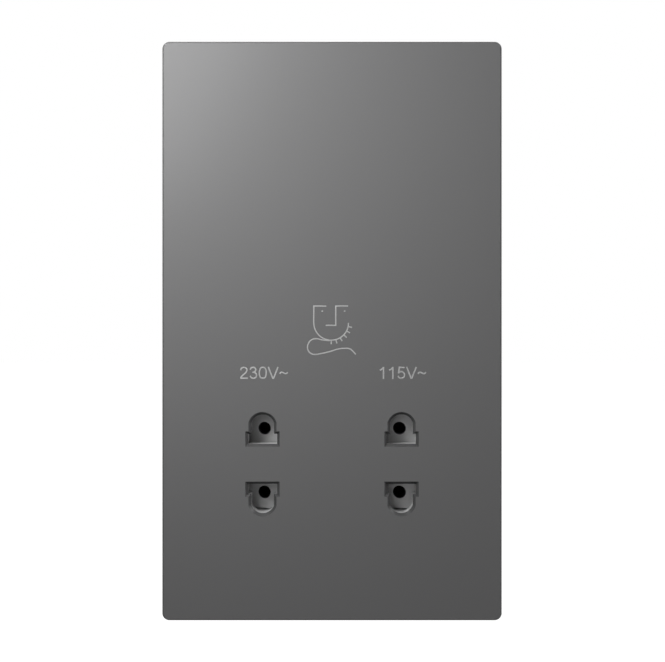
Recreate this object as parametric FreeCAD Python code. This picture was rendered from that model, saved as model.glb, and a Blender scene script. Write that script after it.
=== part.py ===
"""Dual-voltage shaver socket for a two-gang wall box, with its isolating transformer.

Millimetres. X is right, Z is up and Y runs into the wall. The wall's face is y = 0,
the front plate stands out from it towards -Y, and the origin is the plate's centre on the wall.
"""
import FreeCAD
import Part
import math
import os

V = FreeCAD.Vector
UP = V(0, 0, 1)
RIGHT = V(1, 0, 0)

# Front plate, a shallow metal pressing with a returned rim
PLATE_PAST_BODY = 6.8
FIXING_PITCH = 120.6
FIXING_TO_PLATE_END = 13.0
PLATE_PROJECTION = 5.5
PLATE_T = 1.2
RIM_T = 1.2
PLATE_CORNER_R = 1.8
PLATE_EDGE = 0.45
OPENING_BEVEL = 0.65
LEVER_NOTCH_W = 10.0
LEVER_NOTCH_H = 1.4

# Two outlets side by side, each for flat blades and for round pins of two pitches
OUTLET_PITCH = 35.2
OUTLET_Z = -33.7
PIN_PITCH = 16.66
WIDE_PIN_PITCH = 19.0
BLADE_PITCH = 12.7
BLADE_SLOT_W = 7.4
BLADE_SLOT_H = 2.6
ARCH_W = 5.8
ARCH_R = 3.05

# Mounting frame of the front housing, inside the plate's rim
FRAME_GAP = 0.2
FRAME_T = 2.5
FRAME_CORNER_R = 1.0
FRAME_RIB_T = 1.4
FIXING_HOLE_R = 2.1
FIXING_HEAD_R = 4.0
FIXING_SEAT_T = 1.5
FIXING_BOSS_R = 5.6
SNAP_REACH = 0.55
SNAP_W = 8.0
SNAP_H = 1.2
SNAP_GAP = 0.1
SNAP_ROWS = (-45.0, 0.0, 45.0)
PANEL_BACK = -0.9

# Stepped rear cover, standing on the back of the frame
BODY_WALL = 1.8
BODY_CORNER_R = 3.0
LIP_T = 0.8
LIP_H = 2.0
LIP_GAP = 0.1
DEEP_Y = 38.5
STEP_Z = -1.0
COVER_EDGE = 1.0
VENT_W = 40.0
VENT_H = 2.2
VENT_PITCH = 5.0
VENT_COUNT = 7
SIDE_VENT_FROM_FRAME = 14.0
SIDE_VENT_L = 16.0
PARTITION_T = 1.5
PARTITION_H = 9.0

# Screws that close the case, through ears on the cover's rim into bosses on the frame
EAR_X = 25.0
EAR_R = 3.3
EAR_T = 2.5
CASE_SCREW_R = 1.25
CASE_SCREW_HEAD_R = 2.6
CASE_SCREW_HEAD_H = 1.6
CASE_SCREW_END_GAP = 0.3
SCREW_GAP = 0.05

# Outlet insert, the tray that lines the plate's openings and guides the shutters
INSERT_WALL = 1.6
INSERT_GAP = 0.2

# Sprung shutters behind the openings
SHUTTER_W = 10.8
SHUTTER_PAST_PIN = 4.17
SHUTTER_BACK = 7.0
SHUTTER_FLANGE_T = 1.6
SHUTTER_FLANGE_REACH = 2.0
RAMP_TAN = 0.36
RAMP_MID_Y = 2.2
RAMP_LAND_Y = 0.3
SHUTTER_TRAVEL = 8.8
SHUTTER_END_GAP = 0.8
SHUTTER_GAP = 0.2
PILOT_R = 1.55
BOSS_HALF_H = 3.2
BOSS_FRONT_Y = 1.3
STOP_GAP = 0.1
GUIDE_T = 1.5
GUIDE_END_GAP = 2.0
GUIDE_LEDGE_GAP = 0.4
STOP_T = 1.8
STOP_HALF_H = 4.0

# Shutter springs
SPRING_D = 3.6
SPRING_WIRE = 0.5
SPRING_TURNS = 6
SPRING_STEPS = 8
SPRING_SIDES = 5
SPRING_SIDE_GAP = 0.3
SPRING_POCKET_DEPTH = 8.0

# Contact carrier
CARRIER_GAP = 0.4
CARRIER_T = 2.0
CARRIER_WALL = 1.4
CARRIER_WALL_H = 4.8
CELL_WALL = 1.2
CELL_SIDE_GAP = 0.4
CELL_END_GAP = 0.6
PIN_ENTRY_R = 2.9
BLADE_ENTRY_W = 7.6
BLADE_ENTRY_H = 2.6
CLAMP_T = 1.6
CLAMP_GAP = 0.1

# Contacts, folded from strip
STRIP_T = 0.5
CLIP_W = 6.0
CLIP_DEPTH = 8.9
CLIP_MOUTH = 6.6
CLIP_THROAT = 3.6
CLIP_THROAT_DEPTH = 3.1
CLIP_BACK_W = 6.0
CLIP_BACK_STRAIGHT = 1.0
STRIP_W = 5.0
STRIP_PAST_CELL = 0.8
TAG_W = 3.0
TAG_L = 4.6
TAG_HOLE_R = 0.6
TAG_END_GAP = 1.0
RETAINER_T = 1.2
RETAINER_GAP = 0.1

# Transformer: the laminations' limb width sets the whole core
LIMB = 9.5
STACK = 19.0
CORE_FOOT_GAP = 3.0
CORE_TOP_GAP = 2.2
CORE_SIDE_GAP = 4.0
CORE_PAD_W = 6.0
CORE_PAD_T = 1.8
CORE_PAD_GAP = 0.1
BOBBIN_GAP = 0.2
BOBBIN_T = 1.0
COIL_SIDE_GAP = 0.3
COIL_CASE_GAP = 0.55
COIL_STEP_X = 0.9
COIL_STEP_Y = 2.35
COIL_CORNER_R = 4.0
PRIMARY_SHARE = 0.56
TAPE_T = 0.25
CUTOUT_W = 10.0
CUTOUT_H = 6.0
CUTOUT_T = 2.1
CUTOUT_GAP = 0.05

# Supply terminals on the cover's step
BLOCK_WALL = 2.4
BLOCK_BACK_T = 2.8
BLOCK_WEB = 1.6
BLOCK_END = 0.5
BLOCK_FROM_STEP = 4.0
BLOCK_EDGE = 0.8
TERMINAL_PITCH = 10.5
TERMINAL_W = 6.4
TERMINAL_H = 9.0
TERMINAL_D = 7.6
TERMINAL_FRONT = 1.5
TERMINAL_GAP = 0.1
WIRE_R = 1.6
WIRE_FROM_FRONT = 2.9
WIRE_ENTRY_HALF_W = 2.4
TERMINAL_SCREW_R = 1.4
TERMINAL_SCREW_L = 5.0
TERMINAL_SLOT_D = 1.0
SCREW_ACCESS_R = 2.4
TAIL_W = 2.0
TAIL_L = 5.0
TAIL_T = 0.8
BLOCK_SCREW_R = 1.1
BLOCK_SCREW_HEAD_R = 2.1
BLOCK_SCREW_HEAD_H = 1.3
BLOCK_SCREW_BITE = 5.0
BLOCK_SCREW_END_GAP = 1.0
BLOCK_POST_R = 2.6

# Earthing spring between the earth lead and the metal plate
EARTH_X = 12.0
EARTH_W = 5.0
EARTH_TAG_L = 7.0
EARTH_FOOT_L = 1.6
EARTH_TONGUE_L = 4.0
EARTH_TIP_L = 2.0
EARTH_TIP_DROP = 0.7
EARTH_SLOT_GAP = 0.2
EARTH_TOUCH_GAP = 0.05

SLOT_DEPTH_SHARE = 0.5
SLOT_WIDTH_SHARE = 0.24

# Places that follow from the sizes above
PLATE_H = FIXING_PITCH + 2 * FIXING_TO_PLATE_END
PLATE_FRONT = -PLATE_PROJECTION
PLATE_BACK = PLATE_FRONT + PLATE_T
OUTLETS_X = (-OUTLET_PITCH / 2, OUTLET_PITCH / 2)
PIN = PIN_PITCH / 2
OPENING_REACH = WIDE_PIN_PITCH / 2 + ARCH_R

SHUTTER_H = PIN_PITCH + 2 * SHUTTER_PAST_PIN
GUIDE_Z = SHUTTER_H / 2 + SHUTTER_FLANGE_REACH + SHUTTER_GAP
STOP_X = SHUTTER_W / 2 + STOP_GAP
SEAT_X = SHUTTER_W / 2 + SHUTTER_TRAVEL + SHUTTER_END_GAP
SPRING_Y = (BOSS_FRONT_Y + SHUTTER_BACK) / 2
SPRING_POCKET_R = SPRING_D / 2 + SPRING_SIDE_GAP

CORE_Z = STEP_Z + CORE_FOOT_GAP + 2.5 * LIMB
CORE_Y = (DEEP_Y - BODY_WALL) / 2
CORE_FRONT = CORE_Y - STACK / 2
CORE_BACK = CORE_Y + STACK / 2
CORE_CORNERS = [(sx * (3 * LIMB - CORE_PAD_W / 2), CORE_Z + sz * 2 * LIMB)
                for sx in (-1, 1) for sz in (-1, 1)]
COIL_HALF_Y = CORE_Y - COIL_CASE_GAP
COIL_HALF_X = 2 * LIMB - COIL_SIDE_GAP
TUBE_HALF_X = LIMB + BOBBIN_GAP + BOBBIN_T
TUBE_HALF_Y = STACK / 2 + BOBBIN_GAP + BOBBIN_T
WINDING_HALF_X = COIL_HALF_X - COIL_STEP_X
WINDING_HALF_Y = COIL_HALF_Y - COIL_STEP_Y

# The case goes round the wider of its two contents, the core and the open shutters
INSERT_HALF_W = OUTLET_PITCH / 2 + SEAT_X + INSERT_WALL
INSIDE_HALF_W = max(INSERT_HALF_W + INSERT_GAP, 3 * LIMB + CORE_SIDE_GAP)
INSIDE_TOP = CORE_Z + 2.5 * LIMB + CORE_TOP_GAP
INSIDE_FOOT = OUTLET_Z - GUIDE_Z - GUIDE_T - GUIDE_END_GAP
BODY_W = 2 * (INSIDE_HALF_W + BODY_WALL)
PLATE_W = BODY_W + 2 * PLATE_PAST_BODY
FRAME_W = PLATE_W - 2 * (RIM_T + FRAME_GAP)
FRAME_H = PLATE_H - 2 * (RIM_T + FRAME_GAP)
BODY_TOP = INSIDE_TOP + BODY_WALL
BODY_FOOT = INSIDE_FOOT - BODY_WALL
EARS = [(sx * EAR_X, z) for sx in (-1, 1) for z in (BODY_FOOT - EAR_R, BODY_TOP + EAR_R)]
EARTH_Z = BODY_FOOT - EAR_R

CARRIER_FRONT = SHUTTER_BACK + SHUTTER_GAP
CARRIER_BACK = CARRIER_FRONT + CARRIER_T
CARRIER_HALF_W = INSIDE_HALF_W - CARRIER_GAP
CARRIER_FOOT = INSIDE_FOOT + CARRIER_GAP
CARRIER_TOP = 2 * OUTLET_Z - CARRIER_FOOT
CELL_HALF_W = CLIP_W / 2 + CELL_SIDE_GAP
CELL_HALF_H = CLIP_MOUTH / 2 + CELL_END_GAP
CLIP_BASE = CARRIER_BACK + CLIP_DEPTH + STRIP_T
STRIP_REACH = CELL_HALF_W + CELL_WALL + STRIP_PAST_CELL
SHALLOW_Y = CLIP_BASE + TAG_L + TAG_END_GAP + BODY_WALL

TERMINALS_X = (-TERMINAL_PITCH, 0.0, TERMINAL_PITCH)
BLOCK_SCREW_X = TERMINAL_PITCH + TERMINAL_W / 2 + BLOCK_WEB + BLOCK_SCREW_HEAD_R
BLOCK_SCREWS_X = (-BLOCK_SCREW_X, BLOCK_SCREW_X)
BLOCK_HALF_W = BLOCK_SCREW_X + BLOCK_SCREW_HEAD_R + BLOCK_END
BLOCK_HALF_H = TERMINAL_H / 2 + TERMINAL_GAP + BLOCK_WALL
BLOCK_Z = STEP_Z - BLOCK_FROM_STEP - BLOCK_HALF_H
TERMINAL_Y = SHALLOW_Y + TERMINAL_FRONT
BLOCK_BACK = TERMINAL_Y + TERMINAL_D + TERMINAL_GAP + BLOCK_BACK_T
WIRE_Y = TERMINAL_Y + WIRE_FROM_FRONT
BLOCK_SCREW_SEAT = (SHALLOW_Y + BLOCK_BACK) / 2
BLOCK_POST_END = SHALLOW_Y - BLOCK_SCREW_BITE - BLOCK_SCREW_END_GAP


# Small helpers for solids placed in the wall's frame
def box(x0, x1, y0, y1, z0, z1):
    return Part.makeBox(x1 - x0, y1 - y0, z1 - z0, V(x0, y0, z0))


def rod(r, start, end):
    """A round bar from one point to another."""
    along = end - start
    return Part.makeCylinder(r, along.Length, start, along)


def rod_y(r, x, z, y0, y1):
    return rod(r, V(x, y0, z), V(x, y1, z))


def slab(half_w, foot, top, r, y0, y1):
    """A rounded rectangle in the wall's plane, centred in x, pulled from y0 to y1."""
    block = box(-half_w, half_w, y0, y1, foot, top)
    edges = [e for e in block.Edges if abs(e.tangentAt(e.FirstParameter).y) > 0.5]
    return block.makeFillet(r, edges)


def tube(half_w, foot, top, r, wall, y0, y1):
    """A rounded rectangular wall, open at both ends."""
    outer = slab(half_w, foot, top, r, y0, y1)
    inside_r = max(r - wall, r / 4)
    return outer.cut(slab(half_w - wall, foot + wall, top - wall, inside_r, y0, y1))


def fused(shapes):
    whole = shapes[0].multiFuse(shapes[1:]) if len(shapes) > 1 else shapes[0]
    return whole.removeSplitter()


def prism(points, along):
    """A closed outline of points pulled along a vector."""
    return Part.Face(Part.makePolygon(points + [points[0]])).extrude(along)


def strip(points, along):
    """Thin metal strip: a centre line given the strip's thickness, then pulled along a vector."""
    line = Part.makePolygon(points)
    return line.makeOffset2D(STRIP_T / 2, join=2, fill=True, openResult=True).extrude(along)


def screw(x, z, seat, shank_r, head_r, head_h, tip):
    """Cheese-head screw: its head lies behind the seat, and its shank runs towards the front."""
    body = fused([rod_y(shank_r, x, z, tip, seat), rod_y(head_r, x, z, seat, seat + head_h)])
    half = head_r * SLOT_WIDTH_SHARE / 2
    floor = seat + head_h * (1 - SLOT_DEPTH_SHARE)
    return body.cut(box(x - half, x + half, floor, seat + head_h, z - head_r, z + head_r))


# Plug openings
def opening_outline(x, side, y, grow=0.0):
    """Blade slot with an arch beyond it. side is 1 above the pair's centre and -1 below."""
    near = OUTLET_Z + side * (BLADE_PITCH / 2 - BLADE_SLOT_H / 2 - grow)
    shoulder = OUTLET_Z + side * (BLADE_PITCH / 2 + BLADE_SLOT_H / 2 + grow)
    top = OUTLET_Z + side * (OPENING_REACH + grow)
    half_slot = BLADE_SLOT_W / 2 + grow
    half_arch = ARCH_W / 2 + grow
    r = ARCH_R + grow
    spring = top - side * (r - math.sqrt(r * r - half_arch * half_arch))

    def p(dx, z):
        return V(x + dx, y, z)

    corners = [p(half_arch, spring), p(half_arch, shoulder), p(half_slot, shoulder), p(half_slot, near),
               p(-half_slot, near), p(-half_slot, shoulder), p(-half_arch, shoulder), p(-half_arch, spring)]
    edges = [Part.LineSegment(a, b).toShape() for a, b in zip(corners, corners[1:])]
    edges.append(Part.Arc(corners[-1], p(0, top), corners[0]).toShape())
    return Part.Wire(edges)


def opening_cutters(y0, y1, grow=0.0):
    return [Part.Face(opening_outline(x, side, y0, grow)).extrude(V(0, y1 - y0, 0))
            for x in OUTLETS_X for side in (-1, 1)]


def bevel_cutters():
    """Tapered cutters that widen each opening by its bevel at the plate's face."""
    wires = [(opening_outline(x, side, PLATE_FRONT - OPENING_BEVEL, 2 * OPENING_BEVEL),
              opening_outline(x, side, PLATE_FRONT + OPENING_BEVEL)) for x in OUTLETS_X for side in (-1, 1)]
    return [Part.makeLoft(list(pair), True, True) for pair in wires]


def snap_places():
    return [(side, z) for side in (-1, 1) for z in SNAP_ROWS]


def make_front_plate():
    half_w, half_h = PLATE_W / 2, PLATE_H / 2
    plate = slab(half_w, -half_h, half_h, PLATE_CORNER_R, PLATE_FRONT, 0)
    front_edges = [e for e in plate.Edges
                   if abs(e.BoundBox.YMin - PLATE_FRONT) < FRAME_GAP and e.BoundBox.YLength < FRAME_GAP]
    plate = plate.makeChamfer(PLATE_EDGE, front_edges)
    inside = half_h - RIM_T
    plate = plate.cut(slab(half_w - RIM_T, -inside, inside, PLATE_CORNER_R - RIM_T, PLATE_BACK, PLATE_T))
    plate = plate.cut(opening_cutters(PLATE_FRONT - PLATE_T, 0))
    plate = plate.cut(bevel_cutters())
    for side, z in snap_places():
        x = side * (PLATE_W / 2 - RIM_T)
        end = x + side * (SNAP_REACH - FRAME_GAP + SNAP_GAP)
        y = -FRAME_T / 2
        hw = SNAP_W / 2 + SNAP_GAP
        hh = SNAP_H / 2 + SNAP_GAP
        plate = plate.cut(box(min(x, end), max(x, end), y - hh, y + hh, z - hw, z + hw))
    low = -PLATE_H / 2
    notch = box(-LEVER_NOTCH_W / 2, LEVER_NOTCH_W / 2, -LEVER_NOTCH_H, PLATE_T, low - RIM_T, low + 2 * RIM_T)
    return plate.cut(notch)


def snap_lug(side, z):
    """A wedge on the frame's edge, chamfered on both faces so that the plate can snap on and off."""
    x = side * FRAME_W / 2
    y = -FRAME_T / 2
    hh = SNAP_H / 2
    points = [V(x, y - hh, z - SNAP_W / 2), V(x + side * SNAP_REACH, y, z - SNAP_W / 2),
              V(x, y + hh, z - SNAP_W / 2)]
    return prism(points, UP * SNAP_W)


def frame_rib(x, z, half_w, half_h):
    """A rib or a square boss in front of the frame, as high as the plate leaves room."""
    return box(x - half_w, x + half_w, PLATE_BACK, -FRAME_T, z - half_h, z + half_h)


def frame_body():
    """The mounting frame with its ribs, bosses and pads, before the holes."""
    half_w, half_h = FRAME_W / 2, FRAME_H / 2
    half_rib = FRAME_RIB_T / 2
    lip_half_w = INSIDE_HALF_W - LIP_GAP
    pieces = [slab(half_w, -half_h, half_h, FRAME_CORNER_R, -FRAME_T, 0),
              tube(half_w, -half_h, half_h, FRAME_CORNER_R, FRAME_RIB_T, PLATE_BACK, -FRAME_T),
              tube(lip_half_w, INSIDE_FOOT + LIP_GAP, INSIDE_TOP - LIP_GAP, BODY_CORNER_R - BODY_WALL,
                   LIP_T, -FRAME_T / 2, LIP_H),
              box(-lip_half_w, lip_half_w, -FRAME_T / 2, PARTITION_H, STEP_Z - PARTITION_T, STEP_Z)]
    for x in (-EAR_X, EAR_X):
        pieces.append(frame_rib(x, 0, half_rib, half_h - half_rib))
    for z in (STEP_Z, CORE_Z):
        pieces.append(frame_rib(0, z, half_w - half_rib, half_rib))
    for z in (-FIXING_PITCH / 2, FIXING_PITCH / 2):
        pieces.append(frame_rib(0, z, FIXING_BOSS_R, FIXING_BOSS_R))
    for x, z in EARS:
        pieces.append(frame_rib(x, z, EAR_R, EAR_R))
    for x, z in CORE_CORNERS:
        pieces += core_pad(x, z, -FRAME_T / 2, CORE_FRONT - CORE_PAD_GAP)
    return pieces + [snap_lug(side, z) for side, z in snap_places()]


def ear(x, z):
    """A flat square-ended ear on the cover's rim, joined to the end wall."""
    inner = BODY_TOP - BODY_WALL / 2 if z > 0 else BODY_FOOT + BODY_WALL / 2
    outer = z + math.copysign(EAR_R, z)
    return box(x - EAR_R, x + EAR_R, 0, EAR_T, min(outer, inner), max(outer, inner))


def core_pad(x, z, y0, y1):
    """Crossed ribs that meet one corner of the core."""
    half_w, half_t = CORE_PAD_W / 2, CORE_PAD_T / 2
    return [box(x - half_w, x + half_w, y0, y1, z - half_t, z + half_t),
            box(x - half_t, x + half_t, y0, y1, z - half_w, z + half_w)]


def insert_window(gap=0.0):
    """The space that the insert's front takes in the frame."""
    half_w = INSERT_HALF_W + gap
    half_h = GUIDE_Z - INSERT_GAP + gap
    return box(-half_w, half_w, PLATE_BACK, 0, OUTLET_Z - half_h, OUTLET_Z + half_h)


def make_front_housing():
    """Mounting frame of the whole unit, with the window for the outlet insert."""
    housing = fused(frame_body())
    reach = GUIDE_Z + GUIDE_T + INSERT_GAP
    lip_gap = box(-INSIDE_HALF_W, INSIDE_HALF_W, 0, LIP_H, OUTLET_Z - reach, OUTLET_Z + reach)
    holes = [insert_window(INSERT_GAP), lip_gap]
    for side in (-1, 1):
        z = side * FIXING_PITCH / 2
        holes.append(rod_y(FIXING_HOLE_R, 0, z, PLATE_BACK, 0))
        holes.append(rod_y(FIXING_HEAD_R, 0, z, PLATE_BACK, -FIXING_SEAT_T))
    for x, z in EARS:
        holes.append(rod_y(CASE_SCREW_R + SCREW_GAP, x, z, PLATE_BACK, 0))
    half_t = STRIP_T / 2 + EARTH_SLOT_GAP
    reach = EARTH_W / 2 + EARTH_SLOT_GAP
    holes.append(box(EARTH_X - half_t, EARTH_X + half_t, -FRAME_T, 0, EARTH_Z - reach, EARTH_Z + reach))
    return housing.cut(holes)


def make_outlet_insert():
    """Tray with the four openings in its floor, and rails, stops and spring seats for the shutters."""
    outer = GUIDE_Z + GUIDE_T
    tray = fused([insert_window(),
                  box(-INSERT_HALF_W, INSERT_HALF_W, 0, CARRIER_FRONT, OUTLET_Z - outer, OUTLET_Z + outer)])
    half_w = INSERT_HALF_W - INSERT_WALL
    ledge = SHUTTER_H / 2 + GUIDE_LEDGE_GAP
    under_ledge = SHUTTER_BACK - SHUTTER_FLANGE_T - SHUTTER_GAP
    holes = [box(-half_w, half_w, PANEL_BACK, CARRIER_FRONT, OUTLET_Z - ledge, OUTLET_Z + ledge),
             box(-half_w, half_w, under_ledge, CARRIER_FRONT, OUTLET_Z - GUIDE_Z, OUTLET_Z + GUIDE_Z)]
    tray = tray.cut(holes + opening_cutters(PLATE_BACK, 0, INSERT_GAP / 2))
    low, high = OUTLET_Z - STOP_HALF_H, OUTLET_Z + STOP_HALF_H
    inner = PANEL_BACK - INSERT_WALL / 2
    ribs = [box(x - STOP_X - STOP_T, x - STOP_X, inner, SHUTTER_BACK, low, high) for x in OUTLETS_X]
    seat = OUTLETS_X[0] + SEAT_X
    ribs.append(box(seat, seat + STOP_T, inner, SHUTTER_BACK, low, high))
    return fused([tray] + ribs)


def make_rear_cover():
    upper_z = (BODY_TOP + STEP_Z) / 2
    outer = [slab(BODY_W / 2, BODY_FOOT, BODY_TOP, BODY_CORNER_R, 0, SHALLOW_Y),
             slab(BODY_W / 2, STEP_Z, BODY_TOP, BODY_CORNER_R, 0, DEEP_Y)]
    cover = fused(outer + [ear(x, z) for x, z in EARS])
    rear = [e for e in cover.Edges if e.BoundBox.YMin > DEEP_Y - FRAME_GAP]
    cover = cover.makeChamfer(COVER_EDGE, rear)
    inner_r = BODY_CORNER_R - BODY_WALL
    inner = [slab(INSIDE_HALF_W, INSIDE_FOOT, INSIDE_TOP, inner_r, 0, SHALLOW_Y - BODY_WALL),
             slab(INSIDE_HALF_W, STEP_Z + BODY_WALL, INSIDE_TOP, inner_r, 0, DEEP_Y - BODY_WALL)]
    cover = cover.cut(inner)
    extras = []
    for x in OUTLETS_X:
        for row in (-1, 1):
            for hand in (-1, 1):
                mid = x + hand * (CELL_HALF_W + CELL_WALL / 2)
                z = OUTLET_Z + row * PIN
                half_h = (STRIP_W - RETAINER_T) / 2
                extras.append(box(mid - RETAINER_T / 2, mid + RETAINER_T / 2, CLIP_BASE + RETAINER_GAP,
                                  SHALLOW_Y - BODY_WALL / 2, z - half_h, z + half_h))
    for x, z in CORE_CORNERS:
        extras += core_pad(x, z, CORE_BACK + CORE_PAD_GAP, DEEP_Y - BODY_WALL / 2)
    clamp_x = CARRIER_HALF_W - CARRIER_WALL / 2
    rim = CARRIER_BACK + CARRIER_WALL_H + CLAMP_GAP
    for x in (-clamp_x, 0.0, clamp_x):
        for z in (CARRIER_FOOT + CARRIER_WALL / 2, CARRIER_TOP - CARRIER_WALL / 2):
            half = CLAMP_T / 2
            extras.append(box(x - half, x + half, rim, SHALLOW_Y - BODY_WALL / 2, z - half, z + half))
    for x in BLOCK_SCREWS_X:
        extras.append(box(x - BLOCK_POST_R, x + BLOCK_POST_R, BLOCK_POST_END, SHALLOW_Y - BODY_WALL / 2,
                          BLOCK_Z - BLOCK_POST_R, BLOCK_Z + BLOCK_POST_R))
    cover = fused([cover] + extras)
    holes = []
    for row in range(VENT_COUNT):
        z = upper_z + (row - (VENT_COUNT - 1) / 2) * VENT_PITCH
        foot, top = z - VENT_H / 2, z + VENT_H / 2
        holes.append(box(-VENT_W / 2, VENT_W / 2, DEEP_Y - 2 * BODY_WALL, DEEP_Y + BODY_WALL, foot, top))
        for side in (-1, 1):
            x = side * BODY_W / 2
            holes.append(box(x - 2 * BODY_WALL, x + 2 * BODY_WALL, SIDE_VENT_FROM_FRAME,
                             SIDE_VENT_FROM_FRAME + SIDE_VENT_L, foot, top))
    for x, z in EARS:
        holes.append(rod_y(CASE_SCREW_R + 4 * SCREW_GAP, x, z, 0, EAR_T))
    for x in BLOCK_SCREWS_X:
        holes.append(rod_y(BLOCK_SCREW_R + SCREW_GAP, x, BLOCK_Z, BLOCK_POST_END, SHALLOW_Y))
    for x in TERMINALS_X:
        hw, hh = TAIL_W / 2 + TERMINAL_GAP, TAIL_T / 2 + TERMINAL_GAP
        holes.append(box(x - hw, x + hw, SHALLOW_Y - 2 * BODY_WALL, SHALLOW_Y, BLOCK_Z - hh, BLOCK_Z + hh))
    return cover.cut(holes)


def make_shutter(x):
    """One sliding shutter: two ramps that a pair of pins pushes aside, and a sprung boss between."""
    half = SHUTTER_W / 2
    low_y = RAMP_MID_Y + RAMP_TAN * half
    land_x = (RAMP_MID_Y - RAMP_LAND_Y) / RAMP_TAN
    z0 = OUTLET_Z - SHUTTER_H / 2
    outline = [V(x - half, SHUTTER_BACK, z0), V(x - half, low_y, z0), V(x + land_x, RAMP_LAND_Y, z0),
               V(x + half, RAMP_LAND_Y, z0), V(x + half, SHUTTER_BACK, z0)]
    ramp = prism(outline, UP * SHUTTER_H)
    boss = box(x - half, x + half, BOSS_FRONT_Y, SHUTTER_BACK, OUTLET_Z - BOSS_HALF_H, OUTLET_Z + BOSS_HALF_H)
    reach = SHUTTER_H / 2 + SHUTTER_FLANGE_REACH
    runner = box(x - half, x + half, SHUTTER_BACK - SHUTTER_FLANGE_T, SHUTTER_BACK,
                 OUTLET_Z - reach, OUTLET_Z + reach)
    shutter = fused([ramp, boss, runner])
    holes = [rod_y(PILOT_R, x, OUTLET_Z + side * PIN, PANEL_BACK, SHUTTER_BACK) for side in (-1, 1)]
    holes.append(rod(SPRING_POCKET_R, V(x + half - SPRING_POCKET_DEPTH, SPRING_Y, OUTLET_Z),
                     V(x + half, SPRING_Y, OUTLET_Z)))
    return shutter.cut(holes)


def make_spring(x):
    """Helix of round wire between the bottom of the shutter's pocket and its seat."""
    wire_r = SPRING_WIRE / 2
    r = SPRING_D / 2 - wire_r
    start = x + SHUTTER_W / 2 - SPRING_POCKET_DEPTH + wire_r
    length = x + SEAT_X - wire_r - start
    count = SPRING_TURNS * SPRING_STEPS
    sections = []
    for k in range(count + 1):
        turn = 2 * math.pi * k / SPRING_STEPS
        out = V(0, math.cos(turn), math.sin(turn))
        mid = V(start + length * k / count, SPRING_Y, OUTLET_Z) + out * r
        ring = [mid + out * (wire_r * math.cos(2 * math.pi * i / SPRING_SIDES))
                + RIGHT * (wire_r * math.sin(2 * math.pi * i / SPRING_SIDES)) for i in range(SPRING_SIDES)]
        sections.append(Part.makePolygon(ring + [ring[0]]))
    return Part.makeLoft(sections, True, True)


def carrier_cell(x, side):
    z = OUTLET_Z + side * PIN
    hw, hh = CELL_HALF_W + CELL_WALL, CELL_HALF_H + CELL_WALL
    base = CLIP_BASE - STRIP_T
    return (box(x - hw, x + hw, CARRIER_FRONT, base, z - hh, z + hh),
            box(x - CELL_HALF_W, x + CELL_HALF_W, CARRIER_BACK, base, z - CELL_HALF_H, z + CELL_HALF_H))


def make_contact_carrier():
    rim = CARRIER_BACK + CARRIER_WALL_H
    tray = box(-CARRIER_HALF_W, CARRIER_HALF_W, CARRIER_FRONT, rim, CARRIER_FOOT, CARRIER_TOP).cut(
        box(-CARRIER_HALF_W + CARRIER_WALL, CARRIER_HALF_W - CARRIER_WALL, CARRIER_BACK, rim,
            CARRIER_FOOT + CARRIER_WALL, CARRIER_TOP - CARRIER_WALL))
    cells = [carrier_cell(x, side) for x in OUTLETS_X for side in (-1, 1)]
    webs = [box(x - CARRIER_WALL / 2, x + CARRIER_WALL / 2, CARRIER_FRONT, rim, CARRIER_FOOT, CARRIER_TOP)
            for x in OUTLETS_X]
    carrier = fused([tray] + [walls for walls, room in cells] + webs)
    holes = [room for walls, room in cells]
    for x in OUTLETS_X:
        for side in (-1, 1):
            z = OUTLET_Z + side * PIN
            blade = OUTLET_Z + side * BLADE_PITCH / 2
            holes.append(rod_y(PIN_ENTRY_R, x, z, CARRIER_FRONT, CARRIER_BACK))
            holes.append(box(x - BLADE_ENTRY_W / 2, x + BLADE_ENTRY_W / 2, CARRIER_FRONT, CARRIER_BACK,
                             blade - BLADE_ENTRY_H / 2, blade + BLADE_ENTRY_H / 2))
    return carrier.cut(holes)


def clip(x, side):
    """Two sprung leaves that close on a pin, folded up from one base."""
    z = OUTLET_Z + side * PIN
    back = CLIP_BASE - STRIP_T / 2
    mouth = back - CLIP_DEPTH
    half_t = STRIP_T / 2
    throat = CLIP_THROAT / 2 + half_t
    left = x - CLIP_W / 2
    lower = [V(left, mouth, z - CLIP_MOUTH / 2), V(left, mouth + CLIP_THROAT_DEPTH, z - throat),
             V(left, back - CLIP_BACK_STRAIGHT, z - CLIP_BACK_W / 2), V(left, back, z - CLIP_BACK_W / 2)]
    upper = [V(p.x, p.y, 2 * z - p.z) for p in reversed(lower)]
    return strip(lower + upper, RIGHT * CLIP_W)


def bus_strip(x0, x1, side, tag_x):
    """Flat strip on the cells' ends with a solder tag standing from it."""
    z = OUTLET_Z + side * PIN
    bar = box(x0, x1, CLIP_BASE - STRIP_T, CLIP_BASE, z - STRIP_W / 2, z + STRIP_W / 2)
    tag = box(tag_x - TAG_W / 2, tag_x + TAG_W / 2, CLIP_BASE - STRIP_T, CLIP_BASE + TAG_L,
              z - STRIP_W / 2, z - STRIP_W / 2 + STRIP_T)
    y = CLIP_BASE + TAG_L - TAG_W / 2
    hole = rod(TAG_HOLE_R, V(tag_x, y, z - STRIP_W), V(tag_x, y, z))
    return [bar, tag], hole


def make_contact(outlets, side, tag_x):
    bars, hole = bus_strip(outlets[0] - STRIP_REACH, outlets[-1] + STRIP_REACH, side, tag_x)
    return fused([clip(x, side) for x in outlets] + bars).cut(hole)


def core_outline(points):
    """A lamination outline in limb widths about the core's centre, stacked through the core's depth."""
    return prism([V(px * LIMB, CORE_FRONT, CORE_Z + pz * LIMB) for px, pz in points], V(0, STACK, 0))


def make_core_e():
    half = [(3, -2.5), (3, 1.5), (2, 1.5), (2, -1.5), (1, -1.5), (1, 1.5)]
    return core_outline(half + [(-px, pz) for px, pz in reversed(half)])


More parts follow.
